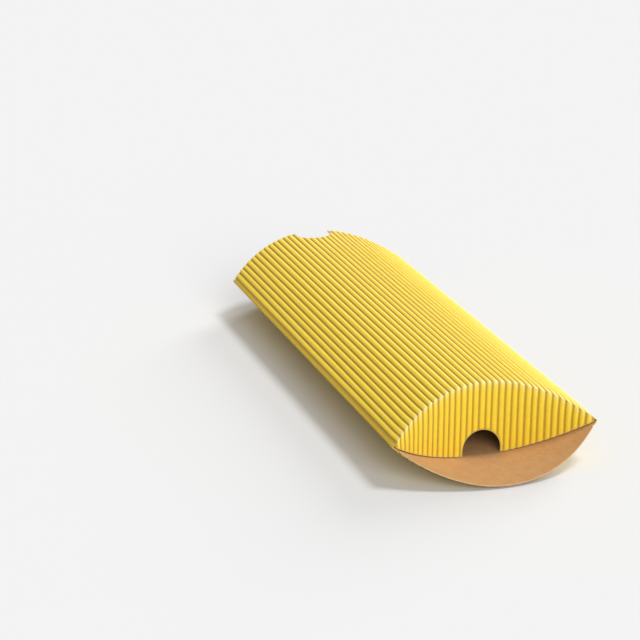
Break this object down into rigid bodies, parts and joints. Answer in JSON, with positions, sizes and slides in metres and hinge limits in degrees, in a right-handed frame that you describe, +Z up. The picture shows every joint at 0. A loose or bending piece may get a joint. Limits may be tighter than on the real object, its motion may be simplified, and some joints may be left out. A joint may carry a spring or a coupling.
{
  "type": "pillow box",
  "caption": "Pillow box of single-face corrugated board: bowed panels joined along the sides, with curved end flaps that fold in to close it and half-round thumb notches.",
  "frame": {"origin": "centre of the underside of the bounding box, on the middle ridge of the lower panel", "axes": "+X across the box towards the glued side fold, +Y along the box towards the end whose flaps both stand open, +Z up from the lower panel"},
  "size_m": [0.1056, 0.2862, 0.0398],
  "materials": {
    "yellow_fluted_paper": "matt dyed paper, faint mottle",
    "kraft_liner_paper": "matt unbleached kraft",
    "seam_adhesive": "dry translucent glue"
  },
  "bodies": {
    "shell": {"upper_panel_fluting": "yellow_fluted_paper", "upper_panel_liner": "kraft_liner_paper", "lower_panel_fluting": "yellow_fluted_paper", "lower_panel_liner": "kraft_liner_paper", "glue_tab_fluting": "yellow_fluted_paper", "glue_tab_liner": "kraft_liner_paper", "seam_glue": "seam_adhesive"},
    "front_thumb_outer_left": {"front_thumb_flap_outer_left_fluting": "yellow_fluted_paper", "front_thumb_flap_outer_left_liner": "kraft_liner_paper"},
    "front_thumb_inner_left": {"front_thumb_flap_inner_left_fluting": "yellow_fluted_paper", "front_thumb_flap_inner_left_liner": "kraft_liner_paper"},
    "front_thumb_centre": {"front_thumb_flap_centre_fluting": "yellow_fluted_paper", "front_thumb_flap_centre_liner": "kraft_liner_paper"},
    "front_thumb_inner_right": {"front_thumb_flap_inner_right_fluting": "yellow_fluted_paper", "front_thumb_flap_inner_right_liner": "kraft_liner_paper"},
    "front_thumb_outer_right": {"front_thumb_flap_outer_right_fluting": "yellow_fluted_paper", "front_thumb_flap_outer_right_liner": "kraft_liner_paper"},
    "front_plain_outer_left": {"front_plain_flap_outer_left_fluting": "yellow_fluted_paper", "front_plain_flap_outer_left_liner": "kraft_liner_paper"},
    "front_plain_inner_left": {"front_plain_flap_inner_left_fluting": "yellow_fluted_paper", "front_plain_flap_inner_left_liner": "kraft_liner_paper"},
    "front_plain_centre": {"front_plain_flap_centre_fluting": "yellow_fluted_paper", "front_plain_flap_centre_liner": "kraft_liner_paper"},
    "front_plain_inner_right": {"front_plain_flap_inner_right_fluting": "yellow_fluted_paper", "front_plain_flap_inner_right_liner": "kraft_liner_paper"},
    "front_plain_outer_right": {"front_plain_flap_outer_right_fluting": "yellow_fluted_paper", "front_plain_flap_outer_right_liner": "kraft_liner_paper"},
    "rear_thumb_outer_left": {"rear_thumb_flap_outer_left_fluting": "yellow_fluted_paper", "rear_thumb_flap_outer_left_liner": "kraft_liner_paper"},
    "rear_thumb_inner_left": {"rear_thumb_flap_inner_left_fluting": "yellow_fluted_paper", "rear_thumb_flap_inner_left_liner": "kraft_liner_paper"},
    "rear_thumb_centre": {"rear_thumb_flap_centre_fluting": "yellow_fluted_paper", "rear_thumb_flap_centre_liner": "kraft_liner_paper"},
    "rear_thumb_inner_right": {"rear_thumb_flap_inner_right_fluting": "yellow_fluted_paper", "rear_thumb_flap_inner_right_liner": "kraft_liner_paper"},
    "rear_thumb_outer_right": {"rear_thumb_flap_outer_right_fluting": "yellow_fluted_paper", "rear_thumb_flap_outer_right_liner": "kraft_liner_paper"},
    "rear_plain_outer_left": {"rear_plain_flap_outer_left_fluting": "yellow_fluted_paper", "rear_plain_flap_outer_left_liner": "kraft_liner_paper"},
    "rear_plain_inner_left": {"rear_plain_flap_inner_left_fluting": "yellow_fluted_paper", "rear_plain_flap_inner_left_liner": "kraft_liner_paper"},
    "rear_plain_centre": {"rear_plain_flap_centre_fluting": "yellow_fluted_paper", "rear_plain_flap_centre_liner": "kraft_liner_paper"},
    "rear_plain_inner_right": {"rear_plain_flap_inner_right_fluting": "yellow_fluted_paper", "rear_plain_flap_inner_right_liner": "kraft_liner_paper"},
    "rear_plain_outer_right": {"rear_plain_flap_outer_right_fluting": "yellow_fluted_paper", "rear_plain_flap_outer_right_liner": "kraft_liner_paper"}
  },
  "joints": [
    {"name": "front_thumb_fold", "type": "hinge", "parent": "shell", "child": "front_thumb_centre", "pos_m": [0, -0.1087, 0.039], "axis": [-1, 0, 0], "range_deg": [0, 90], "deforming": ["front_thumb_flap_outer_left_fluting", "front_thumb_flap_outer_left_liner", "front_thumb_flap_inner_left_fluting", "front_thumb_flap_inner_left_liner", "front_thumb_flap_inner_right_fluting", "front_thumb_flap_inner_right_liner", "front_thumb_flap_outer_right_fluting", "front_thumb_flap_outer_right_liner"]},
    {"name": "front_thumb_inner_left_bend", "type": "hinge", "parent": "front_thumb_centre", "child": "front_thumb_inner_left", "pos_m": [-0.01147, -0.1087, 0.0199], "axis": [0, 0, -1], "range_deg": [0, 30.2]},
    {"name": "front_thumb_outer_left_bend", "type": "hinge", "parent": "front_thumb_inner_left", "child": "front_thumb_outer_left", "pos_m": [-0.03049, -0.11375, 0.0199], "axis": [0, 0, -1], "range_deg": [0, 30.8]},
    {"name": "front_thumb_inner_right_bend", "type": "hinge", "parent": "front_thumb_centre", "child": "front_thumb_inner_right", "pos_m": [0.01147, -0.1087, 0.0199], "axis": [0, 0, 1], "range_deg": [0, 30.2]},
    {"name": "front_thumb_outer_right_bend", "type": "hinge", "parent": "front_thumb_inner_right", "child": "front_thumb_outer_right", "pos_m": [0.03049, -0.11375, 0.0199], "axis": [0, 0, 1], "range_deg": [0, 30.8]},
    {"name": "front_plain_fold", "type": "hinge", "parent": "shell", "child": "front_plain_centre", "pos_m": [0, -0.1091, 0.0022], "axis": [-1, 0, 0], "range_deg": [0, 90], "deforming": ["front_plain_flap_outer_left_fluting", "front_plain_flap_outer_left_liner", "front_plain_flap_inner_left_fluting", "front_plain_flap_inner_left_liner", "front_plain_flap_inner_right_fluting", "front_plain_flap_inner_right_liner", "front_plain_flap_outer_right_fluting", "front_plain_flap_outer_right_liner"]},
    {"name": "front_plain_inner_left_bend", "type": "hinge", "parent": "front_plain_centre", "child": "front_plain_inner_left", "pos_m": [-0.01147, -0.125, 0.0022], "axis": [0, -1, 0], "range_deg": [0, 30.2]},
    {"name": "front_plain_outer_left_bend", "type": "hinge", "parent": "front_plain_inner_left", "child": "front_plain_outer_left", "pos_m": [-0.03049, -0.125, 0.00725], "axis": [0, -1, 0], "range_deg": [0, 30.8]},
    {"name": "front_plain_inner_right_bend", "type": "hinge", "parent": "front_plain_centre", "child": "front_plain_inner_right", "pos_m": [0.01147, -0.125, 0.0022], "axis": [0, 1, 0], "range_deg": [0, 30.2]},
    {"name": "front_plain_outer_right_bend", "type": "hinge", "parent": "front_plain_inner_right", "child": "front_plain_outer_right", "pos_m": [0.03049, -0.125, 0.00725], "axis": [0, 1, 0], "range_deg": [0, 30.8]},
    {"name": "rear_thumb_fold", "type": "hinge", "parent": "shell", "child": "rear_thumb_centre", "pos_m": [0, 0.1073, 0.0376], "axis": [-1, 0, 0], "range_deg": [0, 90], "deforming": ["rear_thumb_flap_outer_left_fluting", "rear_thumb_flap_outer_left_liner", "rear_thumb_flap_inner_left_fluting", "rear_thumb_flap_inner_left_liner", "rear_thumb_flap_inner_right_fluting", "rear_thumb_flap_inner_right_liner", "rear_thumb_flap_outer_right_fluting", "rear_thumb_flap_outer_right_liner"]},
    {"name": "rear_thumb_inner_left_bend", "type": "hinge", "parent": "rear_thumb_centre", "child": "rear_thumb_inner_left", "pos_m": [-0.01147, 0.125, 0.0376], "axis": [0, 1, 0], "range_deg": [0, 30.2]},
    {"name": "rear_thumb_outer_left_bend", "type": "hinge", "parent": "rear_thumb_inner_left", "child": "rear_thumb_outer_left", "pos_m": [-0.03049, 0.125, 0.03255], "axis": [0, 1, 0], "range_deg": [0, 30.8]},
    {"name": "rear_thumb_inner_right_bend", "type": "hinge", "parent": "rear_thumb_centre", "child": "rear_thumb_inner_right", "pos_m": [0.01147, 0.125, 0.0376], "axis": [0, -1, 0], "range_deg": [0, 30.2]},
    {"name": "rear_thumb_outer_right_bend", "type": "hinge", "parent": "rear_thumb_inner_right", "child": "rear_thumb_outer_right", "pos_m": [0.03049, 0.125, 0.03255], "axis": [0, -1, 0], "range_deg": [0, 30.8]},
    {"name": "rear_plain_fold", "type": "hinge", "parent": "shell", "child": "rear_plain_centre", "pos_m": [0, 0.1091, 0.0022], "axis": [1, 0, 0], "range_deg": [0, 90], "deforming": ["rear_plain_flap_outer_left_fluting", "rear_plain_flap_outer_left_liner", "rear_plain_flap_inner_left_fluting", "rear_plain_flap_inner_left_liner", "rear_plain_flap_inner_right_fluting", "rear_plain_flap_inner_right_liner", "rear_plain_flap_outer_right_fluting", "rear_plain_flap_outer_right_liner"]},
    {"name": "rear_plain_inner_left_bend", "type": "hinge", "parent": "rear_plain_centre", "child": "rear_plain_inner_left", "pos_m": [-0.01147, 0.125, 0.0022], "axis": [0, -1, 0], "range_deg": [0, 30.2]},
    {"name": "rear_plain_outer_left_bend", "type": "hinge", "parent": "rear_plain_inner_left", "child": "rear_plain_outer_left", "pos_m": [-0.03049, 0.125, 0.00725], "axis": [0, -1, 0], "range_deg": [0, 30.8]},
    {"name": "rear_plain_inner_right_bend", "type": "hinge", "parent": "rear_plain_centre", "child": "rear_plain_inner_right", "pos_m": [0.01147, 0.125, 0.0022], "axis": [0, 1, 0], "range_deg": [0, 30.2]},
    {"name": "rear_plain_outer_right_bend", "type": "hinge", "parent": "rear_plain_inner_right", "child": "rear_plain_outer_right", "pos_m": [0.03049, 0.125, 0.00725], "axis": [0, 1, 0], "range_deg": [0, 30.8]}
  ],
  "couplings": [
    {"joint": "front_thumb_inner_left_bend", "follows": "front_thumb_fold", "ratio": 0.33052},
    {"joint": "front_thumb_outer_left_bend", "follows": "front_thumb_fold", "ratio": 0.33694},
    {"joint": "front_thumb_inner_right_bend", "follows": "front_thumb_fold", "ratio": 0.33052},
    {"joint": "front_thumb_outer_right_bend", "follows": "front_thumb_fold", "ratio": 0.33694},
    {"joint": "front_plain_inner_left_bend", "follows": "front_plain_fold", "ratio": 0.33052},
    {"joint": "front_plain_outer_left_bend", "follows": "front_plain_fold", "ratio": 0.33694},
    {"joint": "front_plain_inner_right_bend", "follows": "front_plain_fold", "ratio": 0.33052},
    {"joint": "front_plain_outer_right_bend", "follows": "front_plain_fold", "ratio": 0.33694},
    {"joint": "rear_thumb_inner_left_bend", "follows": "rear_thumb_fold", "ratio": 0.33052},
    {"joint": "rear_thumb_outer_left_bend", "follows": "rear_thumb_fold", "ratio": 0.33694},
    {"joint": "rear_thumb_inner_right_bend", "follows": "rear_thumb_fold", "ratio": 0.33052},
    {"joint": "rear_thumb_outer_right_bend", "follows": "rear_thumb_fold", "ratio": 0.33694},
    {"joint": "rear_plain_inner_left_bend", "follows": "rear_plain_fold", "ratio": 0.33052},
    {"joint": "rear_plain_outer_left_bend", "follows": "rear_plain_fold", "ratio": 0.33694},
    {"joint": "rear_plain_inner_right_bend", "follows": "rear_plain_fold", "ratio": 0.33052},
    {"joint": "rear_plain_outer_right_bend", "follows": "rear_plain_fold", "ratio": 0.33694}
  ]
}
